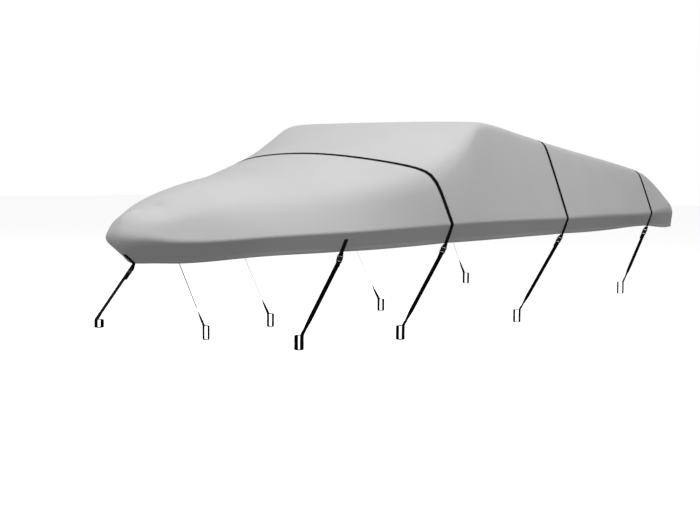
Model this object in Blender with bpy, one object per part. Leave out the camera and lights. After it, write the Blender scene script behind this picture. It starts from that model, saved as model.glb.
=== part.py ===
"""Fitted cover for a V-hull runabout, held down with webbing straps.

Units are metres. The bow points to -X, the port side to -Y and up is +Z. The origin lies on
the underside of the cloth, on the centreline, where the top of the windscreen carries it.
"""

import math

import bmesh
import bpy
import numpy as np
from mathutils import Matrix

# ---- cloth and webbing ---------------------------------------------------------------------
CLOTH = 0.0025          # thickness of the coated polyester, hem and seams included
GAP = 0.0008            # clearance between pieces that lie on each other
OVER_LIFT = 0.0010      # and between the cover and the straps that cross it
WEB_WIDTH = 0.030
WEB = 0.0018            # thickness of the webbing

# Stations run from the bow tip round the port side to the middle of the stern. The starboard
# side mirrors them.
#   edge_x, edge_y, edge_z   the fold over the rub rail, y measured outboard from the centreline
#   hem_aft, hem_in, hem_drop   from that fold to the hem below it
#   top_x, top_z             the point of the centreline that the station's section starts from
#   knee_out, knee_up        where top and side meet: share of the half width, and of the height
#   knee_soft                how gradually they meet, 0 for a sharp corner
#   edge_soft                how far the fold over the rail is rounded off
#   even_lean                how evenly the section leans out from its top, 1 for a straight lean
COLUMNS = ("edge_x", "edge_y", "edge_z", "hem_aft", "hem_in", "hem_drop",
           "top_x", "top_z", "knee_out", "knee_up", "knee_soft", "edge_soft", "even_lean")
STATIONS = {
    "bow tip":        (-2.787, 0.0, -0.818, 0.184, 0.0, 0.139, -2.549, -0.617, 0.72, 0.88, 0.54, 0.086, 0.80),
    "bow shoulder":   (-2.736, 0.125, -0.808, 0.18, 0.03, 0.145, -2.459, -0.611, 0.84, 0.67, 0.38, 0.06, 0.7),
    "bow quarter":    (-2.55, 0.31, -0.814, 0.12, 0.06, 0.136, -2.388, -0.584, 0.83, 0.69, 0.28, 0.025, 0.40),
    "foredeck":       (-2.10, 0.60, -0.792, 0.02, 0.06, 0.122, -2.125, -0.477, 0.82, 0.60, 0.32, 0.012, 0.10),
    "foredeck strap": (-1.50, 0.85, -0.763, 0.0, 0.06, 0.131, -1.573, -0.377, 0.85, 0.61, 0.29, 0.012, 0.0),
    "screen foot":    (-0.60, 1.05, -0.727, 0.0, 0.055, 0.134, -0.985, -0.243, 0.92, 0.74, 0.36, 0.012, 0.0),
    "screen":         (-0.28, 1.09, -0.721, 0.0, 0.055, 0.132, -0.37, -0.067, 0.88, 0.86, 0.21, 0.012, 0.0),
    "screen top":     (0.06, 1.105, -0.717, 0.0, 0.05, 0.13, -0.146, 0.002, 0.82, 0.99, 0.11, 0.012, 0.0),
    "cockpit":        (0.45, 1.115, -0.715, 0.0, 0.05, 0.126, 0.43, -0.018, 0.80, 0.96, 0.10, 0.014, 0.0),
    "cockpit strap":  (0.90, 1.12, -0.713, 0.0, 0.05, 0.124, 0.87, -0.069, 0.81, 0.93, 0.12, 0.016, 0.0),
    "stern bench":    (1.70, 1.12, -0.705, 0.0, 0.05, 0.12, 1.68, -0.167, 0.84, 0.88, 0.14, 0.02, 0.0),
    "stern strap":    (2.42, 1.09, -0.700, 0.0, 0.045, 0.115, 2.40, -0.253, 0.88, 0.81, 0.16, 0.025, 0.0),
    "quarter":        (2.893, 1.038, -0.674, -0.02, 0.03, 0.165, 2.56, -0.295, 0.84, 0.78, 0.25, 0.05, 0.40),
    "stern corner":   (3.122, 0.937, -0.676, 0.0, 0.018, 0.155, 2.62, -0.300, 0.82, 0.765, 0.35, 0.07, 0.90),
    "transom corner": (3.147, 0.70, -0.642, 0.0, 0.01, 0.182, 2.66, -0.301, 0.86, 0.78, 0.34, 0.10, 1.0),
    "transom":        (3.17, 0.36, -0.635, 0.0, 0.0, 0.182, 2.69, -0.305, 0.84, 0.76, 0.34, 0.11, 1.0),
    "stern middle":   (3.18, 0.0, -0.632, 0.0, 0.0, 0.182, 2.71, -0.307, 0.84, 0.76, 0.34, 0.11, 1.0),
}
ODD_COLUMNS = ("edge_y", "hem_in")        # they change sign across the centreline
RIB_SPACING = 0.13                        # distance between sections along the fold
LEAN = 3                                  # power by which a section leans from top_x to edge_x

# Where a section has its points: from the centreline (0) to the knee (1), from the knee (0) to
# the fold (1), and from below the fold (0) to the hem (1).
TO_KNEE = (0.0, 0.18, 0.36, 0.54, 0.70, 0.83, 0.93, 1.0)
TO_FOLD = (0.12, 0.32, 0.60, 0.86)
TO_HEM = (0.5, 1.0)
MOST_SOFT = 0.8           # the rounded fold takes up at most this share of knee to fold
FOLD_POINTS = 5                           # points that round the fold
HEM = len(TO_KNEE + TO_FOLD) + FOLD_POINTS + len(TO_HEM) - 1      # index of the hem in a section

# ---- straps --------------------------------------------------------------------------------
STRAP_RIB = 0.0165      # the sections on both sides of a strap lie this far from its middle
#   fold_x    where the strap crosses the fold
#   over      whether it runs over the cover too, or is only sewn to the skirt
#   rail_outer, rail_top   top outer corner of the trailer rail that it is pulled down to
STRAPS = {
    "foredeck": (-1.505, False, 0.455, -1.470),
    "screen":   (-0.600, True, 0.640, -1.465),
    "cockpit":  (0.900, True, 0.700, -1.455),
    "stern":    (2.420, True, 0.830, -1.315),
}
RAIL_WIDTH = 0.050      # the webbing goes round a rail of this section, which is not built
RAIL_HEIGHT = 0.100
BOW_POST = (2.92, -1.285)       # distance ahead and height of the winch post's top corner
BOW_POST_SIZE = 0.050
CORNER = 0.008          # reach of the bend where webbing turns a corner
TAIL = 0.040            # overlap where both ends of a tie-down are sewn back onto it
TURN = math.radians(35)         # the buckles at the sides face this much toward the bow
TURN_BACK = (0.050, 0.150)      # the webbing turns back flat to the rail between these heights

TAB_START = 0.30        # a tab is sewn on from this share of the way from the fold to the hem
TAB_BELOW = 0.030       # from the hem down to the middle of the buckle's bar
TAB_BACK = (0.014, 0.022)       # up from that bar to where the tab lies flat, and to its end

# ---- buckles -------------------------------------------------------------------------------
BUCKLE_WIDTH = 0.042
BUCKLE_THICK = 0.009
BAR_TO_BAR = 0.052      # between the middles of the two bars that carry webbing
BAR_THICK = 0.005
SLOT_WIDTH = 0.032
SLOT_HIGH = 0.0075
FRAME_THICK = 0.006
PRONG_NOTCH = 0.006     # depth of the hollows beside the middle of the buckle
PRONG_SHARE = 0.42      # their length as a share of the body's
THROUGH = 0.03          # length of a cutter through the buckle
BODY_INSET = 0.001      # the buckle's thick middle is narrower than its frame by this on a side
BAR_TURN = math.hypot(BAR_THICK, FRAME_THICK) / 2 + GAP + WEB / 2     # webbing round a bar


def spline_bends():
    """Knots along the fold and the second derivatives of each column's cubic spline, which is
    mirrored at the bow tip and at the middle of the stern."""
    table = np.array(list(STATIONS.values()))
    knots = np.concatenate([[0.0], np.cumsum(np.hypot(*np.diff(table[:, :2], axis=0).T))])
    steps = np.diff(knots)
    bends = np.zeros_like(table)
    for c, name in enumerate(COLUMNS):
        slopes = np.diff(table[:, c]) / steps
        matrix = np.zeros((len(knots), len(knots)))
        right = np.zeros(len(knots))
        for i in range(1, len(knots) - 1):
            before, after = steps[i - 1], steps[i]
            matrix[i, i - 1:i + 2] = before / 6, (before + after) / 3, after / 6
            right[i] = slopes[i] - slopes[i - 1]
        if name in ODD_COLUMNS:
            matrix[0, 0] = matrix[-1, -1] = 1.0
        else:
            matrix[0, :2] = steps[0] / 3, steps[0] / 6
            matrix[-1, -2:] = steps[-1] / 6, steps[-1] / 3
            right[0], right[-1] = slopes[0], -slopes[-1]
        bends[:, c] = np.linalg.solve(matrix, right)
    return knots, table, bends


KNOTS, TABLE, BENDS = spline_bends()
HALF_LENGTH = KNOTS[-1]         # of the fold, from the bow tip to the middle of the stern


def station(along):
    """The columns at a distance along the fold, as a dictionary."""
    i = int(np.clip(np.searchsorted(KNOTS, along) - 1, 0, len(KNOTS) - 2))
    step = KNOTS[i + 1] - KNOTS[i]
    b = (along - KNOTS[i]) / step
    a = 1.0 - b
    values = a * TABLE[i] + b * TABLE[i + 1]
    values += ((a ** 3 - a) * BENDS[i] + (b ** 3 - b) * BENDS[i + 1]) * step ** 2 / 6
    return dict(zip(COLUMNS, values))


def along_at(fold_x):
    """The distance along the fold at which it reaches this x."""
    low, high = 0.0, KNOTS[list(STATIONS).index("stern corner")]
    for _ in range(40):
        middle = (low + high) / 2
        if station(middle)["edge_x"] < fold_x:
            low = middle
        else:
            high = middle
    return low


def soft_min(first, second, width):
    return 0.5 * (first + second - math.sqrt((first - second) ** 2 + width ** 2))


def height_share(out, s):
    """Height over the fold as a share, 1 at the centreline and 0 at the fold: a low crown
    that meets a straight side at the knee."""
    def raw(t):
        crown = 1.0 - (1.0 - s["knee_up"]) * (t / s["knee_out"]) ** 2
        side = s["knee_up"] * (1.0 - t) / (1.0 - s["knee_out"])
        return soft_min(crown, side, s["knee_soft"])
    return (raw(out) - raw(1.0) * out ** 2) / raw(0.0)


def section(along, side=-1):
    """Points of one section, from the centreline out to the fold and down to the hem. The
    side is -1 for port and 1 for starboard."""
    s = station(along)
    knee = s["knee_out"]

    def outer(out):
        lean = s["even_lean"] * out + (1.0 - s["even_lean"]) * out ** LEAN
        x = s["top_x"] + (s["edge_x"] - s["top_x"]) * lean
        z = s["edge_z"] + (s["top_z"] - s["edge_z"]) * height_share(out, s)
        return np.array((x, side * s["edge_y"] * out, z))

    edge = outer(1.0)
    hem = edge + (s["hem_aft"], -side * s["hem_in"], -s["hem_drop"])
    soft = min(MOST_SOFT, s["edge_soft"] / np.linalg.norm(edge - outer(knee)))
    last = 1.0 - (1.0 - knee) * soft
    points = [outer(knee * share) for share in TO_KNEE]
    points += [outer(knee + (last - knee) * share) for share in TO_FOLD]
    before = outer(last)
    after = edge + (hem - edge) * s["edge_soft"] / np.linalg.norm(hem - edge)
    for t in np.linspace(0.0, 1.0, FOLD_POINTS):
        points.append((1 - t) ** 2 * before + 2 * t * (1 - t) * edge + t ** 2 * after)
    points += [after + (hem - after) * share for share in TO_HEM]
    return np.array(points)


def strap_ribs(name):
    middle = along_at(STRAPS[name][0])
    return middle - STRAP_RIB, middle + STRAP_RIB


def ribs():
    """Distances along the fold of all sections: evenly spaced between the straps' own."""
    fixed = [0.0, STRAP_RIB]
    for name in STRAPS:
        fixed += strap_ribs(name)
    fixed.append(HALF_LENGTH)
    found = [fixed[0]]
    for start, end in zip(fixed, fixed[1:]):
        count = max(1, round((end - start) / RIB_SPACING))
        found += list(np.linspace(start, end, count + 1)[1:])
    return found


# ---- meshes --------------------------------------------------------------------------------
def material(name, colour, roughness):
    made = bpy.data.materials.new(name)
    made.use_nodes = True
    shader = made.node_tree.nodes["Principled BSDF"]
    shader.inputs["Base Color"].default_value = (*colour, 1.0)
    shader.inputs["Roughness"].default_value = roughness
    return made


def new_object(name, mesh, finish):
    made = bpy.data.objects.new(name, mesh)
    bpy.context.scene.collection.objects.link(made)
    mesh.materials.append(finish)
    return made


def cover(finish):
    """The cover: a port half of sections, mirrored, and thickened inwards."""
    rows = [section(along) for along in ribs()]
    shape = bmesh.new()
    corners = {}

    def corner(i, j):
        on_centre = i in (0, len(rows) - 1) or j == 0
        x, y, z = rows[i][j]
        key = (i, j)
        if key not in corners:
            corners[key] = shape.verts.new((x, 0.0 if on_centre else y, z))
        return corners[key]

    for i in range(len(rows) - 1):
        for j in range(HEM):
            shape.faces.new((corner(i, j), corner(i, j + 1), corner(i + 1, j + 1), corner(i + 1, j)))
    mesh = bpy.data.meshes.new("cover")
    shape.to_mesh(mesh)
    shape.free()
    made = new_object("cover", mesh, finish)
    mirror = made.modifiers.new("Starboard", "MIRROR")
    mirror.use_axis = (False, True, False)
    mirror.merge_threshold = 0.0001
    solidify = made.modifiers.new("Cloth", "SOLIDIFY")
    solidify.thickness = CLOTH
    solidify.offset = -1.0
    solidify.use_even_offset = True
    mesh.shade_smooth()
    return made


def band(name, left, right, normals, finish, lift=GAP, thickness=WEB):
    """A strip of webbing between two lines of points, lifted off them along the normals."""
    shape = bmesh.new()
    rings = []
    for a, b, n in zip(left, right, normals):
        low, high = lift * n, (lift + thickness) * n
        rings.append([shape.verts.new(tuple(p)) for p in (a + low, b + low, b + high, a + high)])
    for first, second in zip(rings, rings[1:]):
        for k in range(4):
            m = (k + 1) % 4
            shape.faces.new((first[k], first[m], second[m], second[k]))
    shape.faces.new(rings[0][::-1])
    shape.faces.new(rings[-1])
    bmesh.ops.recalc_face_normals(shape, faces=shape.faces)
    mesh = bpy.data.meshes.new(name)
    shape.to_mesh(mesh)
    shape.free()
    return new_object(name, mesh, finish)


def normals_of(left, right):
    """Unit normals of a strip at each of its points. A corner's halves the angle between the
    runs that meet there."""
    runs = np.diff((left + right) / 2, axis=0)
    runs /= np.linalg.norm(runs, axis=1)[:, None]
    along = np.vstack([runs[:1], runs[1:] + runs[:-1], runs[-1:]])
    found = np.cross(right - left, along)
    return found / np.linalg.norm(found, axis=1)[:, None]


def strap_lines(name, side):
    """Both edges of a strap as it lies on one side of the cover, from the centreline to the
    hem, as points that lie between the two sections beside it."""
    first, second = (section(along, side) for along in strap_ribs(name))
    middle, half = (first + second) / 2, (second - first) / 2
    share = WEB_WIDTH / 2 / np.linalg.norm(half, axis=1)[:, None]
    return middle - half * share, middle + half * share


def over_strap(name, finish):
    """A strap that crosses the cover from hem to hem."""
    port, starboard = strap_lines(name, -1), strap_lines(name, 1)
    left, right = (np.vstack([p[::-1], s[1:]]) for p, s in zip(port, starboard))
    return band(name + "_over_strap", left, right, normals_of(left, right), finish, OVER_LIFT)


def rounded(points, radius, steps=2):
    """The points with each corner between them replaced by an arc."""
    found = [points[0]]
    for before, corner, after in zip(points, points[1:], points[2:]):
        back, ahead = before - corner, after - corner
        near, far = np.linalg.norm(back), np.linalg.norm(ahead)
        reach = min(radius, 0.45 * near, 0.45 * far)
        start, end = corner + back / near * reach, corner + ahead / far * reach
        for k in range(steps + 1):
            t = k / steps
            found.append((1 - t) ** 2 * start + 2 * t * (1 - t) * corner + t ** 2 * end)
    return np.array(found + [points[-1]])


class TieDown:
    """Where one tie-down leaves the hem, and the frame that its pieces are laid out in: down
    the strap, across its width, and out from the boat."""

    def __init__(self, rows, across, outboard, lift, turn, rail_outer, rail_top, rail_width,
                 rail_height):
        self.turn = turn
        self.flat_across = across
        self.outboard = outboard
        self.rail = (rail_outer, rail_top, rail_width, rail_height)
        normal = np.cross(rows[-1] - rows[0], across)
        normal /= np.linalg.norm(normal)
        way = math.copysign(1.0, normal @ outboard)
        self.seat = rows + way * normal * (lift + WEB / 2)
        corner = self.on_rail(rail_outer, rail_top)
        self.down = corner - self.seat[-1]
        self.down -= across * (self.down @ across)
        self.down /= np.linalg.norm(self.down)
        self.flat_out = way * np.cross(self.down, across)
        self.across = self.turned(1.0)
        self.out = way * np.cross(self.down, self.across)
        self.upper_bar = self.seat[-1] + self.down * TAB_BELOW - self.out * BAR_TURN
        self.lower_bar = self.upper_bar + self.down * BAR_TO_BAR

    def turned(self, share):
        """Across the webbing where it has turned by this share toward the bow."""
        angle = self.turn * share
        return self.flat_across * math.cos(angle) + self.flat_out * math.sin(angle)

    def on_rail(self, outer, z):
        """A point of the rail's section in the plane of the strap."""
        start = self.seat[-1]
        point = start + self.outboard * (outer - start @ self.outboard)
        return np.array((point[0], point[1], z))

    def at(self, bar, down, out):
        return bar + self.down * down + self.out * out

    def half_turn(self, bar, way):
        """Round a bar from its outer to its inner side, through the slot."""
        angles = np.linspace(0.0, math.pi, 6)
        return [self.at(bar, way * BAR_TURN * math.sin(a), BAR_TURN * math.cos(a)) for a in angles]

    def ribbon(self, name, path, shares, finish):
        """Webbing whose middle follows the path, turned by a share at each of its points."""
        half = np.array([self.turned(share) for share in shares]) * WEB_WIDTH / 2
        left, right = path - half, path + half
        return band(name, left, right, normals_of(left, right), finish, lift=-WEB / 2)

    def tab(self, name, finish):
        """Webbing sewn to the skirt, which holds the buckle's upper bar."""
        beside = BAR_TURN - WEB - 1.5 * GAP
        bend = self.half_turn(self.upper_bar, 1)
        back = [self.at(self.upper_bar, -up, beside) for up in TAB_BACK]
        sewn = rounded(np.array([self.seat[0], self.seat[-1], bend[0]]), CORNER)
        path = np.vstack([sewn, bend[1:], back])
        shares = np.arange(len(path)) > len(sewn) - 2
        return self.ribbon(name, path, shares, finish)

    def tie(self, name, finish):
        """Webbing from its sewn end behind the buckle round the lower bar, down to the rail,
        once round it, and up again for a tail sewn behind the strap."""
        outer, top, width, height = self.rail
        bend = self.half_turn(self.lower_bar, -1)[::-1]
        start = [self.at(self.lower_bar, TAIL, -BAR_TURN)]
        rail = [self.on_rail(outer, top), self.on_rail(outer, top - height),
                self.on_rail(outer - width, top - height), self.on_rail(outer - width, top)]
        up = bend[-1] - rail[0]
        up /= np.linalg.norm(up)
        flat, turned = TURN_BACK
        turning = [rail[0] + up * (turned + (flat - turned) * k / 4) for k in range(5)]
        behind = np.cross(up, self.flat_across)
        behind *= -(WEB + GAP) * math.copysign(1.0, behind @ self.flat_out) / np.linalg.norm(behind)
        meets = rail[0] + behind - up * behind[2] / up[2]
        route = np.array([turning[-1], *rail, meets, meets + up * TAIL])
        path = np.vstack([start, bend, turning[:-1], rounded(route, CORNER)])
        shares = np.clip(((path - rail[0]) @ up - flat) / (turned - flat), 0.0, 1.0)
        return self.ribbon(name, path, shares, finish)

    def place_buckle(self, name, mesh):
        made = bpy.data.objects.new(name, mesh)
        bpy.context.scene.collection.objects.link(made)
        columns = (self.across, self.down, np.cross(self.across, self.down), self.upper_bar)
        made.matrix_world = Matrix(np.vstack([np.transpose(columns), (0, 0, 0, 1)]).tolist())
        return made


def side_tie_down(name, side):
    """The tie-down of a strap on one side."""
    fold_x, over, rail_outer, rail_top = STRAPS[name]
    left, right = strap_lines(name, side)
    skirt = ((left + right) / 2)[-len(TO_HEM) - 1:]
    rows = np.array([skirt[0] + (skirt[-1] - skirt[0]) * TAB_START, skirt[-1]])
    across = (right - left)[-1]
    across /= np.linalg.norm(across)
    lift = OVER_LIFT + WEB + GAP if over else GAP
    outboard = np.array((0.0, side, 0.0))
    return TieDown(rows, across, outboard, lift, TURN, rail_outer, rail_top, RAIL_WIDTH,
                   RAIL_HEIGHT)


def bow_tie_down():
    skirt = section(0.0)[-len(TO_HEM) - 1:]
    rows = np.array([skirt[0] + (skirt[-1] - skirt[0]) * TAB_START, skirt[-1]])
    across, ahead = np.array((0.0, 1.0, 0.0)), np.array((-1.0, 0.0, 0.0))
    outer, top = BOW_POST
    return TieDown(rows, across, ahead, GAP, 0.0, outer, top, BOW_POST_SIZE, BOW_POST_SIZE)


def block(name, size, centre):
    """A box as a helper object."""
    shape = bmesh.new()
    bmesh.ops.create_cube(shape, size=1.0)
    bmesh.ops.scale(shape, vec=size, verts=shape.verts)
    bmesh.ops.translate(shape, vec=centre, verts=shape.verts)
    mesh = bpy.data.meshes.new(name)
    shape.to_mesh(mesh)
    shape.free()
    made = bpy.data.objects.new(name, mesh)
    bpy.context.scene.collection.objects.link(made)
    made.hide_render = True
    made.display_type = "WIRE"
    return made


def buckle_mesh(finish):
    """A side-release buckle, its upper bar on the local origin, its length along +Y."""
    length = BAR_TO_BAR + BAR_THICK
    middle = (0.0, BAR_TO_BAR / 2, 0.0)
    slot_at = BAR_THICK / 2 + SLOT_HIGH / 2
    body_length = BAR_TO_BAR - BAR_THICK - 2 * SLOT_HIGH
    frame = block("buckle_frame", (BUCKLE_WIDTH, length, FRAME_THICK), middle)
    body = block("buckle_body", (BUCKLE_WIDTH - 2 * BODY_INSET, body_length, BUCKLE_THICK), middle)
    slots = [block("slot", (SLOT_WIDTH, SLOT_HIGH, THROUGH), (0.0, y, 0.0))
             for y in (slot_at, BAR_TO_BAR - slot_at)]
    notches = [block("notch", (2 * PRONG_NOTCH, body_length * PRONG_SHARE, THROUGH),
                     (x, BAR_TO_BAR / 2, 0.0)) for x in (-BUCKLE_WIDTH / 2, BUCKLE_WIDTH / 2)]
    steps = [(body, "UNION")] + [(cutter, "DIFFERENCE") for cutter in slots + notches]
    for helper, operation in steps:
        cut = frame.modifiers.new(helper.name, "BOOLEAN")
        cut.operation = operation
        cut.object = helper
    bpy.context.view_layer.update()
    graph = bpy.context.evaluated_depsgraph_get()
    mesh = bpy.data.meshes.new_from_object(frame.evaluated_get(graph))
    mesh.name = "buckle"
    mesh.materials.clear()
    mesh.materials.append(finish)
    for helper in [frame, body, *slots, *notches]:
        bpy.data.objects.remove(helper)
    return mesh


def tie_down(label, laid, webbing, buckle):
    laid.tab("tab_" + label, webbing)
    laid.place_buckle("buckle_" + label, buckle)
    laid.tie("tie_" + label, webbing)


def main():
    for old in list(bpy.data.objects):
        bpy.data.objects.remove(old)
    cloth = material("grey polyester", (0.42, 0.42, 0.42), 0.85)
    webbing = material("black webbing", (0.02, 0.02, 0.022), 0.8)
    plastic = material("black acetal", (0.02, 0.02, 0.02), 0.4)
    cover(cloth)
    for name, row in STRAPS.items():
        if row[1]:
            over_strap(name, webbing)
    buckle = buckle_mesh(plastic)
    for name in STRAPS:
        for side, word in ((-1, "port"), (1, "starboard")):
            tie_down(f"{name}_{word}", side_tie_down(name, side), webbing, buckle)
    tie_down("bow", bow_tie_down(), webbing, buckle)


if __name__ == "__main__":
    main()
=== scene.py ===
"""Looks of the fitted boat cover: fine cloth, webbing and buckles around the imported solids.

Metres. The bow points to -X, port to -Y, +Z is up. The origin is the underside of the cloth on
the centreline, at the top of the windscreen.
"""

import math

import bmesh
import bpy
import numpy as np
from mathutils import Matrix, Vector, noise

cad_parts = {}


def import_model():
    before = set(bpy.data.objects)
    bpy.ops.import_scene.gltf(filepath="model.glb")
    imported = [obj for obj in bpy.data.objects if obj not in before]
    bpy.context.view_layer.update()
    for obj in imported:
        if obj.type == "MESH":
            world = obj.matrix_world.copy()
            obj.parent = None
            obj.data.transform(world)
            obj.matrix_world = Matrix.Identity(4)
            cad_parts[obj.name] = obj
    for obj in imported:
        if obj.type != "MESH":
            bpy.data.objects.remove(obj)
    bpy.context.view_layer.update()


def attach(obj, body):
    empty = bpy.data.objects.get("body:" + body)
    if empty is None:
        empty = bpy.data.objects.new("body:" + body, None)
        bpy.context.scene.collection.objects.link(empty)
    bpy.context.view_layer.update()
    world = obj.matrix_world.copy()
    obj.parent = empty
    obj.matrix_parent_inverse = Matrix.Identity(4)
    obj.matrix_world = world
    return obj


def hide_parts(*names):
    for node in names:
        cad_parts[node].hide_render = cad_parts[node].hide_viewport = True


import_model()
scene = bpy.context.scene

# ---- the cover's form, as in the solids ----------------------------------------------------
CLOTH = 0.0025          # thickness at the hem
WEB_WIDTH = 0.030
WEB = 0.0018            # thickness of the webbing
GAP = 0.0008            # clearance between pieces that lie on each other
OVER_LIFT = 0.0010      # and between the cover and the straps that cross it

# Stations from the bow tip round one side to the middle of the stern:
#   edge_x, edge_y, edge_z   the fold over the rub rail, y measured outboard from the centreline
#   hem_aft, hem_in, hem_drop   from that fold to the hem below it
#   top_x, top_z             the point of the centreline that the station's section starts from
#   knee_out, knee_up        where top and side meet: share of the half width, and of the height
#   knee_soft                how gradually they meet, 0 for a sharp corner
#   edge_soft                how far the fold over the rail is rounded off
#   even_lean                how evenly the section leans out from its top, 1 for a straight lean
COLUMNS = ("edge_x", "edge_y", "edge_z", "hem_aft", "hem_in", "hem_drop",
           "top_x", "top_z", "knee_out", "knee_up", "knee_soft", "edge_soft", "even_lean")
STATIONS = {
    "bow tip":        (-2.787, 0.0, -0.818, 0.184, 0.0, 0.139, -2.549, -0.617, 0.72, 0.88, 0.54, 0.086, 0.80),
    "bow shoulder":   (-2.736, 0.125, -0.808, 0.18, 0.03, 0.145, -2.459, -0.611, 0.84, 0.67, 0.38, 0.06, 0.7),
    "bow quarter":    (-2.55, 0.31, -0.814, 0.12, 0.06, 0.136, -2.388, -0.584, 0.83, 0.69, 0.28, 0.025, 0.40),
    "foredeck":       (-2.10, 0.60, -0.792, 0.02, 0.06, 0.122, -2.125, -0.477, 0.82, 0.60, 0.32, 0.012, 0.10),
    "foredeck strap": (-1.50, 0.85, -0.763, 0.0, 0.06, 0.131, -1.573, -0.377, 0.85, 0.61, 0.29, 0.012, 0.0),
    "screen foot":    (-0.60, 1.05, -0.727, 0.0, 0.055, 0.134, -0.985, -0.243, 0.92, 0.74, 0.36, 0.012, 0.0),
    "screen":         (-0.28, 1.09, -0.721, 0.0, 0.055, 0.132, -0.37, -0.067, 0.88, 0.86, 0.21, 0.012, 0.0),
    "screen top":     (0.06, 1.105, -0.717, 0.0, 0.05, 0.13, -0.146, 0.002, 0.82, 0.99, 0.11, 0.012, 0.0),
    "cockpit":        (0.45, 1.115, -0.715, 0.0, 0.05, 0.126, 0.43, -0.018, 0.80, 0.96, 0.10, 0.014, 0.0),
    "cockpit strap":  (0.90, 1.12, -0.713, 0.0, 0.05, 0.124, 0.87, -0.069, 0.81, 0.93, 0.12, 0.016, 0.0),
    "stern bench":    (1.70, 1.12, -0.705, 0.0, 0.05, 0.12, 1.68, -0.167, 0.84, 0.88, 0.14, 0.02, 0.0),
    "stern strap":    (2.42, 1.09, -0.700, 0.0, 0.045, 0.115, 2.40, -0.253, 0.88, 0.81, 0.16, 0.025, 0.0),
    "quarter":        (2.893, 1.038, -0.674, -0.02, 0.03, 0.165, 2.56, -0.295, 0.84, 0.78, 0.25, 0.05, 0.40),
    "stern corner":   (3.122, 0.937, -0.676, 0.0, 0.018, 0.155, 2.62, -0.300, 0.82, 0.765, 0.35, 0.07, 0.90),
    "transom corner": (3.147, 0.70, -0.642, 0.0, 0.01, 0.182, 2.66, -0.301, 0.86, 0.78, 0.34, 0.10, 1.0),
    "transom":        (3.17, 0.36, -0.635, 0.0, 0.0, 0.182, 2.69, -0.305, 0.84, 0.76, 0.34, 0.11, 1.0),
    "stern middle":   (3.18, 0.0, -0.632, 0.0, 0.0, 0.182, 2.71, -0.307, 0.84, 0.76, 0.34, 0.11, 1.0),
}
ODD_COLUMNS = ("edge_y", "hem_in")      # they change sign across the centreline
LEAN = 3                # power by which a section leans from top_x to edge_x
MOST_SOFT = 0.8         # the rounded fold takes up at most this share of knee to fold

# Rows of the fine cloth, as shares of the way to the knee, from there to the fold, round the
# fold, and from there to the hem.
TO_KNEE = np.concatenate([np.linspace(0.0, 0.8, 15), np.linspace(0.83, 1.0, 7)])
TO_FOLD = np.concatenate([np.linspace(0.04, 0.28, 7), np.linspace(0.36, 0.92, 8)])
ROUND_FOLD = np.linspace(0.0, 1.0, 7)
HEM_TOP = 0.84          # where the turned-up hem ends, as a share of the skirt
HEM_STEP = 0.015        # half the run over which its upper edge steps down to the single cloth
TO_HEM = (0.12, 0.26, 0.40, 0.54, 0.68, 0.79, HEM_TOP - HEM_STEP, HEM_TOP + HEM_STEP, 0.90,
          0.96, 1.0)
FOLD_ROW = len(TO_KNEE) + len(TO_FOLD)
SKIRT_ROW = FOLD_ROW + len(ROUND_FOLD) - 1      # the last row round the fold
STITCH_ROW = SKIRT_ROW + TO_HEM.index(HEM_TOP + HEM_STEP) + 1    # the first one on the hem
HEM_ROW = SKIRT_ROW + len(TO_HEM)


def spline_bends():
    """Knots along the fold and the second derivatives of each column's cubic spline, which is
    mirrored at the bow tip and at the middle of the stern."""
    table = np.array(list(STATIONS.values()))
    knots = np.concatenate([[0.0], np.cumsum(np.hypot(*np.diff(table[:, :2], axis=0).T))])
    steps = np.diff(knots)
    bends = np.zeros_like(table)
    for c, name in enumerate(COLUMNS):
        slopes = np.diff(table[:, c]) / steps
        matrix = np.zeros((len(knots), len(knots)))
        right = np.zeros(len(knots))
        for i in range(1, len(knots) - 1):
            before, after = steps[i - 1], steps[i]
            matrix[i, i - 1:i + 2] = before / 6, (before + after) / 3, after / 6
            right[i] = slopes[i] - slopes[i - 1]
        if name in ODD_COLUMNS:
            matrix[0, 0] = matrix[-1, -1] = 1.0
        else:
            matrix[0, :2] = steps[0] / 3, steps[0] / 6
            matrix[-1, -2:] = steps[-1] / 6, steps[-1] / 3
            right[0], right[-1] = slopes[0], -slopes[-1]
        bends[:, c] = np.linalg.solve(matrix, right)
    return knots, table, bends


KNOTS, TABLE, BENDS = spline_bends()
HALF_LENGTH = KNOTS[-1]         # of the fold, from the bow tip to the middle of the stern


def station(along):
    """The columns at a distance along the fold, as a dictionary."""
    i = int(np.clip(np.searchsorted(KNOTS, along) - 1, 0, len(KNOTS) - 2))
    step = KNOTS[i + 1] - KNOTS[i]
    b = (along - KNOTS[i]) / step
    a = 1.0 - b
    values = a * TABLE[i] + b * TABLE[i + 1]
    values += ((a ** 3 - a) * BENDS[i] + (b ** 3 - b) * BENDS[i + 1]) * step ** 2 / 6
    return dict(zip(COLUMNS, values))


def along_at(fold_x):
    """The distance along the fold at which it reaches this x."""
    low, high = 0.0, KNOTS[list(STATIONS).index("stern corner")]
    for _ in range(40):
        middle = (low + high) / 2
        if station(middle)["edge_x"] < fold_x:
            low = middle
        else:
            high = middle
    return low


def soft_min(first, second, width):
    return 0.5 * (first + second - math.sqrt((first - second) ** 2 + width ** 2))


def height_share(out, s):
    """Height over the fold as a share, 1 at the centreline and 0 at the fold: a low crown
    that meets a straight side at the knee."""
    def raw(t):
        crown = 1.0 - (1.0 - s["knee_up"]) * (t / s["knee_out"]) ** 2
        side = s["knee_up"] * (1.0 - t) / (1.0 - s["knee_out"])
        return soft_min(crown, side, s["knee_soft"])
    return (raw(out) - raw(1.0) * out ** 2) / raw(0.0)


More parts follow.
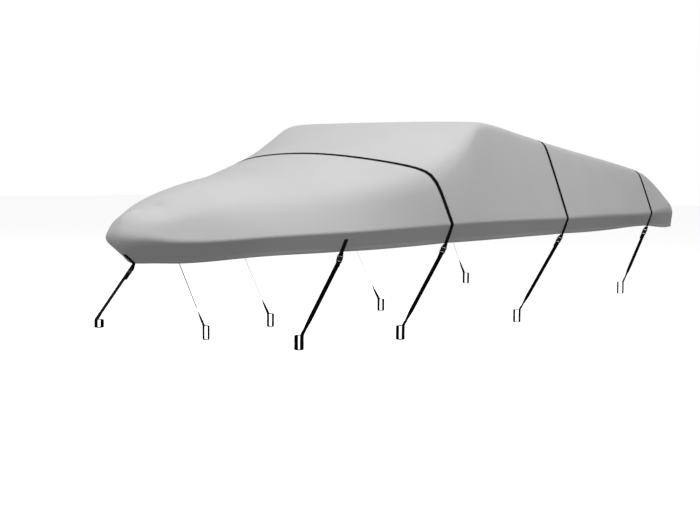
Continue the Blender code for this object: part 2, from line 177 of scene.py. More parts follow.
def section(along, side):
    """Points of one section, from the centreline out to the fold and down to the hem. The
    side is -1 for port and 1 for starboard."""
    s = station(along)
    knee = s["knee_out"]

    def outer(out):
        lean = s["even_lean"] * out + (1.0 - s["even_lean"]) * out ** LEAN
        x = s["top_x"] + (s["edge_x"] - s["top_x"]) * lean
        z = s["edge_z"] + (s["top_z"] - s["edge_z"]) * height_share(out, s)
        return np.array((x, side * s["edge_y"] * out, z))

    edge = outer(1.0)
    hem = edge + (s["hem_aft"], -side * s["hem_in"], -s["hem_drop"])
    soft = min(MOST_SOFT, s["edge_soft"] / np.linalg.norm(edge - outer(knee)))
    last = 1.0 - (1.0 - knee) * soft
    points = [outer(out) for out in [*(knee * TO_KNEE), *(knee + (last - knee) * TO_FOLD)]]
    before = outer(last)
    after = edge + (hem - edge) * s["edge_soft"] / np.linalg.norm(hem - edge)
    points += [bezier(before, edge, after, t) for t in ROUND_FOLD]
    points += [after + (hem - after) * share for share in TO_HEM]
    return np.array(points)


def bezier(start, corner, end, t):
    return (1 - t) ** 2 * start + 2 * t * (1 - t) * corner + t ** 2 * end


def unit(vectors):
    return vectors / np.linalg.norm(vectors, axis=-1, keepdims=True)


def smooth(start, end, values):
    """0 before the start, 1 after the end, and smooth between them."""
    t = np.clip((values - start) / (end - start), 0.0, 1.0)
    return t * t * (3 - 2 * t)


# ---- straps, as in the solids --------------------------------------------------------------
STRAPS = {      # x at the fold, over the cover or not, the trailer rail's outer and top edges
    "foredeck": (-1.505, False, 0.455, -1.470),
    "screen":   (-0.600, True, 0.640, -1.465),
    "cockpit":  (0.900, True, 0.700, -1.455),
    "stern":    (2.420, True, 0.830, -1.315),
}
STRAP_RIB = 0.0165
RAIL_WIDTH = 0.050
RAIL_HEIGHT = 0.100
BOW_POST = (2.92, -1.285)
BOW_POST_SIZE = 0.050
CORNER = 0.008          # reach of the bend where webbing turns a corner
TAIL = 0.040            # overlap where both ends of a tie-down are sewn back onto it
TURN = math.radians(35)         # the buckles at the sides face this much toward the bow
TURN_BACK = (0.050, 0.150)      # the webbing turns back flat to the rail between these heights
TAB_START = 0.30        # a tab is sewn on from this share of the way from the fold to the hem
TAB_BELOW = 0.030       # from the hem down to the middle of the buckle's bar
TAB_BACK = (0.014, 0.022)       # up from that bar to where the tab lies flat, and to its end
BAR_TO_BAR = 0.052      # between the middles of a buckle's two bars
BAR_THICK = 0.005
FRAME_THICK = 0.006
BAR_TURN = math.hypot(BAR_THICK, FRAME_THICK) / 2 + GAP + WEB / 2     # webbing round a bar
STRAP_ALONG = {name: along_at(row[0]) for name, row in STRAPS.items()}
SIDES = ((-1, "port"), (1, "starboard"))


def rounded(points, radius, steps=6):
    """The points with each corner between them replaced by an arc."""
    found = [points[0]]
    for before, corner, after in zip(points, points[1:], points[2:]):
        back, ahead = before - corner, after - corner
        near, far = np.linalg.norm(back), np.linalg.norm(ahead)
        reach = min(radius, 0.45 * near, 0.45 * far)
        start, end = corner + back / near * reach, corner + ahead / far * reach
        found += [bezier(start, corner, end, k / steps) for k in range(steps + 1)]
    return np.array(found + [points[-1]])


class TieDown:
    """Where one tie-down leaves the hem, and the frame that its pieces are laid out in: down
    the strap, across its width, and out from the boat."""

    def __init__(self, rows, across, outboard, lift, turn, rail_outer, rail_top, rail_width,
                 rail_height):
        self.turn = turn
        self.flat_across = across
        self.outboard = outboard
        self.rail = (rail_outer, rail_top, rail_width, rail_height)
        normal = unit(np.cross(rows[-1] - rows[0], across))
        way = math.copysign(1.0, normal @ outboard)
        self.seat = rows + way * normal * (lift + WEB / 2)
        corner = self.on_rail(rail_outer, rail_top)
        down = corner - self.seat[-1]
        self.down = unit(down - across * (down @ across))
        self.flat_out = way * np.cross(self.down, across)
        self.across = self.turned(1.0)
        self.out = way * np.cross(self.down, self.across)
        self.upper_bar = self.seat[-1] + self.down * TAB_BELOW - self.out * BAR_TURN
        self.lower_bar = self.upper_bar + self.down * BAR_TO_BAR

    def turned(self, share):
        """Across the webbing where it has turned by this share toward the bow."""
        angle = self.turn * share
        return self.flat_across * math.cos(angle) + self.flat_out * math.sin(angle)

    def on_rail(self, outer, z):
        """A point of the rail's section in the plane of the strap."""
        start = self.seat[-1]
        point = start + self.outboard * (outer - start @ self.outboard)
        return np.array((point[0], point[1], z))

    def at(self, bar, down, out):
        return bar + self.down * down + self.out * out

    def half_turn(self, bar, way):
        """Round a bar from its outer to its inner side, through the slot."""
        angles = np.linspace(0.0, math.pi, 11)
        return [self.at(bar, way * BAR_TURN * math.sin(a), BAR_TURN * math.cos(a)) for a in angles]

    def tab_path(self):
        """From its sewn end on the skirt down round the buckle's upper bar, and the share of
        the turn at each point."""
        beside = BAR_TURN - WEB - 1.5 * GAP
        bend = self.half_turn(self.upper_bar, 1)
        back = [self.at(self.upper_bar, -up, beside) for up in TAB_BACK]
        sewn = rounded(np.array([self.seat[0], self.seat[-1], bend[0]]), CORNER)
        turning = np.linspace(sewn[-2], bend[0], 6)
        path = np.vstack([sewn[:-2], turning, bend[1:], back])
        shares = smooth(0, 5, np.arange(len(path)) - (len(sewn) - 2))
        return path, shares

    def tie_path(self):
        """From its sewn end behind the buckle round the lower bar, down to the rail, once round
        it, and up again for a tail sewn behind the strap; and the share of the turn."""
        outer, top, width, height = self.rail
        bend = self.half_turn(self.lower_bar, -1)[::-1]
        start = [self.at(self.lower_bar, TAIL, -BAR_TURN)]
        rail = [self.on_rail(outer, top), self.on_rail(outer, top - height),
                self.on_rail(outer - width, top - height), self.on_rail(outer - width, top)]
        up = unit(bend[-1] - rail[0])
        flat, turned = TURN_BACK
        turning = [rail[0] + up * (turned + (flat - turned) * k / 12) for k in range(13)]
        behind = unit(np.cross(up, self.flat_across))
        behind *= -(WEB + GAP) * math.copysign(1.0, behind @ self.flat_out)
        meets = rail[0] + behind - up * behind[2] / up[2]
        route = np.array([turning[-1], *rail, meets, meets + up * TAIL])
        path = np.vstack([start, bend, turning[:-1], rounded(route, CORNER)])
        return path, smooth(flat, turned, (path - rail[0]) @ up)

    def place(self, piece):
        """Puts a piece modelled about the buckle's upper bar, its length along +Y, in place."""
        columns = (self.across, self.down, np.cross(self.across, self.down), self.upper_bar)
        piece.matrix_world = Matrix(np.vstack([np.transpose(columns), (0, 0, 0, 1)]).tolist())


def side_tie_down(name, side):
    """The tie-down of a strap on one side."""
    _, over, rail_outer, rail_top = STRAPS[name]
    along = STRAP_ALONG[name]
    fore, aft = (section(along + way * STRAP_RIB, side)[SKIRT_ROW:] for way in (-1, 1))
    skirt = (fore + aft) / 2
    rows = np.array([skirt[0] + (skirt[-1] - skirt[0]) * TAB_START, skirt[-1]])
    lift = OVER_LIFT + WEB + GAP if over else GAP
    outboard = np.array((0.0, side, 0.0))
    across = unit((aft - fore)[-1])
    return TieDown(rows, across, outboard, lift, TURN, rail_outer, rail_top, RAIL_WIDTH,
                   RAIL_HEIGHT)


def bow_tie_down():
    skirt = section(0.0, -1)[SKIRT_ROW:]
    rows = np.array([skirt[0] + (skirt[-1] - skirt[0]) * TAB_START, skirt[-1]])
    across, ahead = np.array((0.0, 1.0, 0.0)), np.array((-1.0, 0.0, 0.0))
    outer, top = BOW_POST
    return TieDown(rows, across, ahead, GAP, 0.0, outer, top, BOW_POST_SIZE, BOW_POST_SIZE)


TIE_DOWNS = {f"{name}_{word}": side_tie_down(name, side) for name in STRAPS for side, word in SIDES}
TIE_DOWNS["bow"] = bow_tie_down()


# ---- camera --------------------------------------------------------------------------------
CAMERA_AT = (-8.678, -6.438, -0.372)
CAMERA_LENS, CAMERA_SENSOR = 72.0, 36.0
CAMERA_TURN = math.radians(37.88)       # to port of the view straight along the boat
CAMERA_PITCH = math.radians(-3.71)
CAMERA_ROLL = math.radians(0.48)


def main_camera():
    """The view from the front port quarter, with a long lens, a little above the rub rail."""
    data = bpy.data.cameras.new("Camera")
    data.lens, data.sensor_width = CAMERA_LENS, CAMERA_SENSOR
    turn, pitch, roll = CAMERA_TURN, CAMERA_PITCH, CAMERA_ROLL
    level_ahead = Vector((math.cos(turn), math.sin(turn), 0.0))
    ahead = level_ahead * math.cos(pitch) + Vector((0.0, 0.0, math.sin(pitch)))
    level = Vector((math.sin(turn), -math.cos(turn), 0.0))
    upward = level.cross(ahead)
    right = level * math.cos(roll) + upward * math.sin(roll)
    up = upward * math.cos(roll) - level * math.sin(roll)
    camera = bpy.data.objects.new("Camera", data)
    camera.matrix_world = Matrix((right, up, -ahead)).transposed().to_4x4()
    camera.matrix_world.translation = CAMERA_AT
    scene.collection.objects.link(camera)
    scene.camera = camera


# ---- meshes --------------------------------------------------------------------------------
def new_object(name, vertices, faces, finish, uvs=None):
    """A smooth-shaded object; uvs holds one pair for each vertex."""
    mesh = bpy.data.meshes.new(name)
    mesh.from_pydata([tuple(v) for v in vertices], [], [tuple(f) for f in faces])
    if uvs is not None:
        corners = np.empty(len(mesh.loops), dtype=np.int32)
        mesh.loops.foreach_get("vertex_index", corners)
        mesh.uv_layers.new(name="lay").data.foreach_set("uv", np.asarray(uvs)[corners].ravel())
    mesh.shade_smooth()
    mesh.materials.append(finish)
    made = bpy.data.objects.new(name, mesh)
    scene.collection.objects.link(made)
    return made


def grid_faces(rows, columns, first=0, closed=False):
    """Quads of a grid of vertices, row after row; closed joins its last column to its first."""
    found = []
    for i in range(rows - 1):
        for j in range(columns if closed else columns - 1):
            k = (j + 1) % columns
            a, b = first + i * columns, first + (i + 1) * columns
            found.append((a + j, a + k, b + k, b + j))
    return found


# ---- the cloth -----------------------------------------------------------------------------
SPACING = 0.04          # between sections, apart from those close to a strap
BESIDE_STRAP = (0.008, 0.0165, 0.023, 0.031, 0.040)
STRAP_SINK = 0.0022     # a taut strap lies this deep in the cloth
SINK_FROM, SINK_TO = 0.017, 0.050       # from the strap's middle, where that hollow rises
SEAT_FROM, SEAT_TO = 0.019, 0.045       # on the skirt, where the flat seat of a tab ends
HEM_RISE = 0.0009       # the turned-up hem stands this proud of the skirt
BULGE = 0.004           # the skirt's hem stands out this far between the straps
BULGE_WIDTH = 0.16      # distance from a strap over which it grows
SKIRT_CALM = 0.7        # share of the waves that the skirt lacks
WAVES = ((0.0030, 0.80, 3.1), (0.0010, 0.27, 11.7))     # height, size and seed of soft waves
MERGE = 0.0010          # vertices closer than this, where the sections meet at bow and stern
THIN = 0.45             # thickness of the single cloth as a share of the hem's


def ribs():
    """Distances along the fold of all sections, and the place of each strap's among them."""
    fixed = {0.0, HALF_LENGTH, *BESIDE_STRAP}
    for along in STRAP_ALONG.values():
        fixed |= {along} | {along + way * off for off in BESIDE_STRAP for way in (-1, 1)}
    fixed = sorted(fixed)
    found = [fixed[0]]
    for start, end in zip(fixed, fixed[1:]):
        count = max(1, math.ceil((end - start) / SPACING))
        found += list(np.linspace(start, end, count + 1)[1:])
    return np.array(found)


RIBS = ribs()


def mirrored(points):
    return points * (1.0, -1.0, 1.0)


def normals_and_stretch(grid, side):
    """Outward unit normals of a half's grid, and metres on the cloth for each along the fold.
    Both stay in the plane of symmetry at the bow, at the stern and on the centreline."""
    wide = np.concatenate([mirrored(grid[1:2]), grid, mirrored(grid[-2:-1])])
    reach = np.concatenate([[-RIBS[1]], RIBS, [2 * HALF_LENGTH - RIBS[-2]]])
    along = (wide[2:] - wide[:-2]) / (reach[2:] - reach[:-2])[:, None, None]
    tall = np.concatenate([mirrored(grid[:, 1:2]), grid], axis=1)
    down = np.concatenate([tall[:, 2:] - tall[:, :-2], tall[:, -1:] - tall[:, -2:-1]], axis=1)
    normals = np.cross(along, down) * side
    normals[:, 0] = normals[:, 1] * (1.0, 0.0, 1.0)
    normals[(0, -1), :, 1] = 0.0
    return unit(normals), np.linalg.norm(along, axis=-1)


def relief(grid, stretch):
    """How far the taut cloth stands out from its even form."""
    row = np.arange(HEM_ROW + 1)
    skirt = smooth(FOLD_ROW, SKIRT_ROW, row)[None, :]
    hemward = np.clip((row - SKIRT_ROW) / (HEM_ROW - SKIRT_ROW), 0.0, 1.0)[None, :]
    rise = np.zeros(grid.shape[:2])
    for height, size, seed in WAVES:
        rise += height * np.array([[noise.noise(Vector(p / size) + Vector((seed, 0, 0)))
                                    for p in points] for points in grid])
    rise *= 1.0 - SKIRT_CALM * skirt
    seated = np.zeros_like(rise)
    slack = np.ones_like(rise)
    for name, along in [*STRAP_ALONG.items(), ("bow", 0.0)]:
        distance = np.abs(RIBS - along)[:, None] * stretch
        if name != "bow" and STRAPS[name][1]:
            sunk = 1.0 - smooth(SINK_FROM, SINK_TO, distance)
            rise -= STRAP_SINK * sunk * (1.0 - skirt)
        seated = np.maximum(seated, skirt * (1.0 - smooth(SEAT_FROM, SEAT_TO, distance)))
        slack *= 1.0 - np.exp(-(distance / BULGE_WIDTH) ** 2)
    rise += BULGE * hemward ** 2 * slack
    rise += HEM_RISE * (row >= STITCH_ROW)[None, :]
    return rise * (1.0 - seated)


class Half:
    """One side of the cloth as a grid of points, section after section."""

    def __init__(self, side):
        self.side = side
        plain = np.array([section(along, side) for along in RIBS])
        normals, stretch = normals_and_stretch(plain, side)
        self.points = plain + normals * relief(plain, stretch)[..., None]
        self.points[(0, -1), :, 1] = 0.0
        self.points[:, 0, 1] = 0.0
        self.normals, _ = normals_and_stretch(self.points, side)

    def rib_of(self, along):
        return int(np.argmin(np.abs(RIBS - along)))


HALVES = {word: Half(side) for side, word in SIDES}


def cover(finish):
    """Both halves as one cloth, thickened inwards, thicker along the hem."""
    shape = bmesh.new()
    hem_share = shape.verts.layers.deform.verify()
    for half in HALVES.values():
        rows, columns, _ = half.points.shape
        made = [shape.verts.new(tuple(p)) for p in half.points.reshape(-1, 3)]
        for k, vertex in enumerate(made):
            vertex[hem_share][0] = 1.0 if k % columns >= STITCH_ROW else THIN
        for a, b, c, d in grid_faces(rows, columns):
            order = (a, b, c, d) if half.side < 0 else (d, c, b, a)
            shape.faces.new([made[k] for k in order])
    bmesh.ops.remove_doubles(shape, verts=shape.verts, dist=MERGE)
    bmesh.ops.recalc_face_normals(shape, faces=shape.faces)
    mesh = bpy.data.meshes.new("cloth")
    shape.to_mesh(mesh)
    shape.free()
    mesh.shade_smooth()
    mesh.materials.append(finish)
    made = bpy.data.objects.new("cloth", mesh)
    scene.collection.objects.link(made)
    made.vertex_groups.new(name="thick")
    solidify = made.modifiers.new("Thickness", "SOLIDIFY")
    solidify.thickness = CLOTH
    solidify.offset = -1.0
    solidify.use_even_offset = True
    solidify.vertex_group = "thick"
    solidify.thickness_vertex_group = 0.0
    return made


def hem_stitches(finish):
    """Short stitches along the top of the turned-up hem."""
    pieces = []
    for half in HALVES.values():
        normals = half.normals[:, STITCH_ROW]
        line = half.points[:, STITCH_ROW] + normals * THREAD * 0.25
        pieces.append(stitches(line, normals))
    return joined("hem_stitches", pieces, finish)


# ---- threads -------------------------------------------------------------------------------
THREAD = 0.0007
STITCH = 0.0045         # pitch of the stitches
STITCH_FILL = 0.82      # how much of the pitch a stitch covers
STITCH_SHAPE = ((-0.5, -0.6), (-0.34, 0.0), (0.34, 0.0), (0.5, -0.6))    # along and up, as shares
STITCH_SIDES = 4


def along_line(line, pitch):
    """Points at equal distances along a line, with the direction of the line at each."""
    reach = np.concatenate([[0.0], np.cumsum(np.linalg.norm(np.diff(line, axis=0), axis=1))])
    count = max(2, round(reach[-1] / pitch))
    at = (np.arange(count) + 0.5) * reach[-1] / count
    points = np.stack([np.interp(at, reach, line[:, c]) for c in range(3)], axis=1)
    index = np.clip(np.searchsorted(reach, at) - 1, 0, len(line) - 2)
    return points, unit(np.diff(line, axis=0))[index], index


def stitches(line, normals):
    """A run of stitches on a line: each a short bent capsule. Vertices and faces."""
    points, heading, index = along_line(line, STITCH)
    out = unit(normals[index] - heading * np.sum(normals[index] * heading, axis=1)[:, None])
    across = np.cross(heading, out)
    vertices, faces = [], []
    count = len(STITCH_SHAPE) * STITCH_SIDES
    ring = [2 * math.pi * k / STITCH_SIDES for k in range(STITCH_SIDES)]
    for point, ahead, up, beside in zip(points, heading, out, across):
        first = len(vertices)
        for at, lift in STITCH_SHAPE:
            size = THREAD / 2 * (0.55 if abs(at) > 0.4 else 1.0)
            middle = point + ahead * at * STITCH * STITCH_FILL + up * lift * THREAD
            vertices += [middle + size * (math.cos(a) * beside + math.sin(a) * up) for a in ring]
        faces += grid_faces(len(STITCH_SHAPE), STITCH_SIDES, first, closed=True)
        faces.append(tuple(range(first, first + STITCH_SIDES))[::-1])
        faces.append(tuple(range(first + count - STITCH_SIDES, first + count)))
    return vertices, faces


def joined(name, pieces, finish):
    """One object of several lists of vertices and faces."""
    vertices, faces = [], []
    for some, their_faces in pieces:
        first = len(vertices)
        vertices += list(some)
        faces += [tuple(first + k for k in face) for face in their_faces]
    return new_object(name, vertices, faces, finish)


# ---- webbing -------------------------------------------------------------------------------
# Outline of woven webbing with rounded edges: across and up, as shares of half its size.
WEB_OUTLINE = ((-1.0, -0.45), (-0.965, -1.0), (-0.88, -1.0), (0.0, -1.0), (0.88, -1.0),
               (0.965, -1.0), (1.0, -0.45), (1.0, 0.45), (0.965, 1.0), (0.88, 1.0), (0.0, 1.0),
               (-0.88, 1.0), (-0.965, 1.0), (-1.0, 0.45))


def webbing_strip(name, path, across, out, finish):
    """A strip of webbing: its middle line, and at each point the unit vectors across it and
    out of it. Its UV map holds metres across and along."""
    reach = np.concatenate([[0.0], np.cumsum(np.linalg.norm(np.diff(path, axis=0), axis=1))])
    vertices, uvs = [], []
    for point, beside, up, along in zip(path, across, out, reach):
        for a, b in WEB_OUTLINE:
            vertices.append(point + beside * a * WEB_WIDTH / 2 + up * b * WEB / 2)
            uvs.append((a * WEB_WIDTH / 2, along))
    count = len(WEB_OUTLINE)
    faces = grid_faces(len(path), count, closed=True)
    faces.append(tuple(range(count))[::-1])
    faces.append(tuple(range(len(vertices) - count, len(vertices))))
    made = new_object(name, vertices, faces, finish, uvs)
    shape = bmesh.new()
    shape.from_mesh(made.data)
    bmesh.ops.recalc_face_normals(shape, faces=shape.faces)
    shape.to_mesh(made.data)
    shape.free()
    return made


def over_strap(name, finish):
    """A strap that lies on the cloth from hem to hem."""
    path, across, out = [], [], []
    for half in HALVES.values():
        rib = half.rib_of(STRAP_ALONG[name])
        low, high = (half.rib_of(STRAP_ALONG[name] + way * BESIDE_STRAP[1]) for way in (-1, 1))
        wide = half.points[high] - half.points[low]
        wide[0] *= (1.0, 0.0, 1.0)
        wide *= half.side
        rows = range(HEM_ROW, -1, -1) if half.side < 0 else range(1, HEM_ROW + 1)
        for j in rows:
            middle = (half.points[low, j] + half.points[high, j]) / 2
            normal = half.normals[rib, j]
            higher = max(0.0, (half.points[rib, j] - middle) @ normal)
            beside = unit(wide[j]) * half.side
            path.append(middle + normal * (OVER_LIFT + WEB / 2 + higher))
            across.append(beside)
            out.append(unit(normal - beside * (normal @ beside)))
    return webbing_strip("strap_" + name, *map(np.array, (path, across, out)), finish)


def ribbon(name, laid, path, shares, finish):
    """Webbing of a tie-down that follows a path, turned by a share at each of its points."""
    runs = unit(np.diff(path, axis=0))
    heading = unit(np.vstack([runs[:1], runs[1:] + runs[:-1], runs[-1:]]))
    across = np.array([laid.turned(share) for share in shares])
    return webbing_strip(name, path, across, unit(np.cross(across, heading)), finish)


# Stitches on a tab's sewn end: runs of a crossed box, as shares of half its width and of the
# run from its end down to the hem.
BOX_X = (((-0.76, 0.05), (0.76, 0.05)), ((0.76, 0.05), (0.76, 0.36)), ((0.76, 0.36), (-0.76, 0.36)),
         ((-0.76, 0.36), (-0.76, 0.05)), ((-0.76, 0.05), (0.76, 0.36)), ((0.76, 0.05), (-0.76, 0.36)),
         ((-0.80, 0.88), (0.80, 0.88)), ((-0.80, 0.93), (0.80, 0.93)))


def tab_stitches(name, laid, finish):
    top, hem = laid.seat
    normal = unit(np.cross(hem - top, laid.flat_across))
    normal *= math.copysign(1.0, normal @ laid.outboard)
    pieces = []
    for run in BOX_X:
        ends = [top + (hem - top) * down + laid.flat_across * side * WEB_WIDTH / 2
                + normal * (WEB / 2 + THREAD * 0.2) for side, down in run]
        pieces.append(stitches(np.array(ends), np.array([normal, normal])))
    return joined(name, pieces, finish)


# ---- buckles -------------------------------------------------------------------------------
# A side-release buckle about its upper bar, its length along +Y. Each plate has the outline of
# its right half from top to bottom, as (inset from the buckle's side, y), then its thickness
# and its slot's ends in y.
BUCKLE_WIDTH = 0.042
SLOT_WIDTH = 0.0325
BUCKLE_PLATES = {
    "socket": (((0.0030, -0.0025), (0.0009, 0.0095), (0.0002, 0.0150), (0.0005, 0.0192),
                (0.0058, 0.0212), (0.0064, 0.0260), (0.0058, 0.0308), (0.0005, 0.0328),
                (0.0002, 0.0362)), 0.0060, (0.0025, 0.0100)),
    "socket_body": (((0.0037, 0.0112), (0.0015, 0.0122), (0.0011, 0.0158), (0.0015, 0.0186),
                     (0.0066, 0.0206), (0.0074, 0.0260), (0.0066, 0.0314), (0.0015, 0.0334),
                     (0.0012, 0.0357)), 0.0090, None),
    "socket_face": (((0.0108, 0.0142), (0.0100, 0.0190), (0.0120, 0.0260), (0.0100, 0.0330)),
                    0.0096, None),
    "plug": (((0.0009, 0.0367), (0.0003, 0.0385), (0.0011, 0.0430), (0.0028, 0.0545)),
             0.0060, (0.0420, 0.0495)),
    "plug_shoulder": (((0.0017, 0.0369), (0.0013, 0.0385), (0.0025, 0.0408)), 0.0084, None),
    "inside": (((0.0075, 0.0200), (0.0075, 0.0410)), 0.0040, None),
}
# The two pads that are squeezed to open it, in the hollows of the socket's sides.
PAD = ((0.0080, 0.0204), (0.0037, 0.0208), (0.0016, 0.0228), (0.0009, 0.0260), (0.0016, 0.0292),
       (0.0037, 0.0312), (0.0080, 0.0316))
PAD_THICK = 0.0050
GRIPS = ((0.0013, 0.0232), (0.0010, 0.0246), (0.0009, 0.0260), (0.0010, 0.0274), (0.0013, 0.0288))
GRIP = 0.0006           # width of a ridge on a pad
PLATE_CORNER = 0.0022
PLATE_BEVEL = 0.0007


def half_outline(points):
    """Outline points as x and y for the buckle's right half."""
    return [(BUCKLE_WIDTH / 2 - inset, y) for inset, y in points]


def plate(shape, outline, thickness, hole=None):
    """Adds a flat plate with rounded corners to a bmesh, with a rounded hole if given."""
    loops = []
    for corners in [outline] + ([hole] if hole else []):
        corners = np.array(corners)
        start = (corners[0] + corners[-1]) / 2
        ring = rounded(np.vstack([[start], corners, [start]]), PLATE_CORNER, 4)[:-1]
        made = [shape.verts.new((x, y, -thickness / 2)) for x, y in ring]
        loops += [shape.edges.new((a, b)) for a, b in zip(made, made[1:] + made[:1])]
    filled = bmesh.ops.triangle_fill(shape, edges=loops, use_beauty=True, use_dissolve=False)
    faces = [f for f in filled["geom"] if isinstance(f, bmesh.types.BMFace)]
    raised = bmesh.ops.extrude_face_region(shape, geom=faces, use_keep_orig=True)
    lifted = [v for v in raised["geom"] if isinstance(v, bmesh.types.BMVert)]
    bmesh.ops.translate(shape, vec=(0, 0, thickness), verts=lifted)


def buckle_mesh(finish):
    shape = bmesh.new()
    for half, thickness, slot in BUCKLE_PLATES.values():
        right = half_outline(half)
        hole = slot and [(x * SLOT_WIDTH / 2, y) for x, y in zip((1, 1, -1, -1), slot + slot[::-1])]
        plate(shape, right + [(-x, y) for x, y in reversed(right)], thickness, hole)
    ridge = Matrix.Diagonal((2 * GRIP, GRIP, PAD_THICK * 0.8, 1.0))
    for side in (-1, 1):
        plate(shape, [(side * x, y) for x, y in half_outline(PAD)], PAD_THICK)
        for x, y in half_outline(GRIPS):
            at = Matrix.Translation((side * x, y, 0.0))
            bmesh.ops.create_cube(shape, size=1.0, matrix=at @ ridge)
    bmesh.ops.recalc_face_normals(shape, faces=shape.faces)
    mesh = bpy.data.meshes.new("buckle")
    shape.to_mesh(mesh)
    shape.free()
    mesh.shade_smooth()
    mesh.materials.append(finish)
    return mesh


def buckle(name, laid, mesh):
    made = bpy.data.objects.new(name, mesh)
    scene.collection.objects.link(made)
    laid.place(made)
    bevel = made.modifiers.new("Edges", "BEVEL")
    bevel.width = PLATE_BEVEL
    bevel.segments = 2
    bevel.limit_method = "ANGLE"
    bevel.angle_limit = math.radians(50)
    bevel.harden_normals = True
    return made


# ---- materials -----------------------------------------------------------------------------
class Shader:
    """A Principled material and short ways to add nodes to it."""

    def __init__(self, name, colour, roughness, specular=0.5):
        self.material = bpy.data.materials.new(name)
        self.material.use_nodes = True
        self.nodes = self.material.node_tree.nodes
        self.links = self.material.node_tree.links
        self.main = self.nodes["Principled BSDF"]
        self.main.inputs["Base Color"].default_value = (*colour, 1.0)
        self.main.inputs["Roughness"].default_value = roughness
        self.main.inputs["Specular IOR Level"].default_value = specular

    def node(self, kind, **settings):
        made = self.nodes.new(kind)
        for name, value in settings.items():
            setattr(made, name, value)
        return made

    def feed(self, socket, value):
        if isinstance(value, bpy.types.NodeSocket):
            self.links.new(value, socket)
        else:
            socket.default_value = value

    def math(self, operation, *values):
        made = self.node("ShaderNodeMath", operation=operation)
        for socket, value in zip(made.inputs, values):
            self.feed(socket, value)
        return made.outputs[0]

    def place(self, output="Object"):
        return self.node("ShaderNodeTexCoord").outputs[output]

    def noise(self, place, size, detail=2.0):
        """Noise with features of this size in metres."""
        made = self.node("ShaderNodeTexNoise")
        made.inputs["Scale"].default_value = 1.0 / size
        made.inputs["Detail"].default_value = detail
        self.links.new(place, made.inputs["Vector"])
        return made.outputs["Fac"]

    def split(self, place):
        made = self.node("ShaderNodeSeparateXYZ")
        self.links.new(place, made.inputs[0])
        return made.outputs

    def ramp(self, value, dark, light):
        """Maps 0 to 1 on a linear blend between two colours."""
        made = self.node("ShaderNodeMix", data_type="RGBA")
        self.feed(made.inputs["Factor"], value)
        made.inputs["A"].default_value = (*dark, 1.0)
        made.inputs["B"].default_value = (*light, 1.0)
        return made.outputs["Result"]

    def bump(self, height, distance, strength=1.0, under=None):
        made = self.node("ShaderNodeBump")
        made.inputs["Strength"].default_value = strength
        made.inputs["Distance"].default_value = distance
        self.links.new(height, made.inputs["Height"])
        if under is not None:
            self.links.new(under, made.inputs["Normal"])
        return made.outputs["Normal"]

    def wave(self, value, pitch):
        """A sine of 0 to 1 with this pitch in metres."""
        turned = self.math("SINE", self.math("MULTIPLY", value, 2 * math.pi / pitch))
        return self.math("MULTIPLY_ADD", turned, 0.5, 0.5)


WEAVE = 0.00065         # pitch of the cloth's threads
RIB = 0.0016            # pitch of the webbing's cross ribs
WARP = 0.0011           # and of its threads


def cloth_material():
    """Matt coated polyester in a plain weave, slightly uneven in tone."""
    made = Shader("grey polyester", (0.56, 0.56, 0.56), 0.78, 0.35)
    place = made.place()
    x, y, z = made.split(place)
    thread = made.math("MULTIPLY", made.wave(x, WEAVE), made.wave(made.math("ADD", y, z), WEAVE))
    broad = made.noise(place, 0.55, 3.0)
    fine = made.noise(place, 0.012, 4.0)
    tone = made.math("MULTIPLY_ADD", fine, 0.25, made.math("MULTIPLY", broad, 0.75))
    colour = made.ramp(tone, (0.526, 0.518, 0.521), (0.608, 0.598, 0.601))
    made.feed(made.main.inputs["Base Color"], colour)
    made.feed(made.main.inputs["Roughness"], made.math("MULTIPLY_ADD", fine, 0.12, 0.72))
    soft = made.bump(made.noise(place, 0.05, 2.0), 0.0012, 0.5)
    woven = made.bump(thread, 0.00012, 0.6, under=soft)
    made.feed(made.main.inputs["Normal"], woven)
    made.main.inputs["Sheen Weight"].default_value = 0.15
    made.main.inputs["Sheen Roughness"].default_value = 0.5
    return made.material


def webbing_material():
    """Black polyester webbing with slanting cross ribs."""
    made = Shader("black webbing", (0.004, 0.004, 0.004), 0.8, 0.12)
    across, along, _ = made.split(made.place("UV"))
    twill = made.math("ADD", along, made.math("MULTIPLY", made.math("ABSOLUTE", across), 0.6))
    ribs_up = made.wave(twill, RIB)
    threads = made.wave(across, WARP)
    height = made.math("MULTIPLY", ribs_up, made.math("MULTIPLY_ADD", threads, 0.6, 0.4))
    made.feed(made.main.inputs["Base Color"],
              made.ramp(height, (0.002, 0.002, 0.002), (0.006, 0.006, 0.0065)))
    made.feed(made.main.inputs["Normal"], made.bump(height, 0.0004, 0.8))
    return made.material


def thread_material(name, colour):
    made = Shader(name, colour, 0.6, 0.4)
    twist = made.noise(made.place(), 0.0008, 2.0)
    made.feed(made.main.inputs["Normal"], made.bump(twist, 0.0001, 0.6))
    return made.material


def plastic_material():
    """Black acetal with a fine moulded texture."""
    made = Shader("black acetal", (0.014, 0.014, 0.015), 0.42)
    grain = made.noise(made.place(), 0.0006, 2.0)
    made.feed(made.main.inputs["Roughness"], made.math("MULTIPLY_ADD", grain, 0.2, 0.32))
    made.feed(made.main.inputs["Normal"], made.bump(grain, 0.00004, 0.5))
    return made.material


# ---- light and stage -----------------------------------------------------------------------
FLOOR_Z = -1.989
FLOOR_GLOW = 0.92       # the floor's own light, which brings it near the white around it
FLOOR_REACH = 60.0
SKY = 0.03              # strength of the studio's light from above and, off the floor, from below
BOUNCE = 0.225
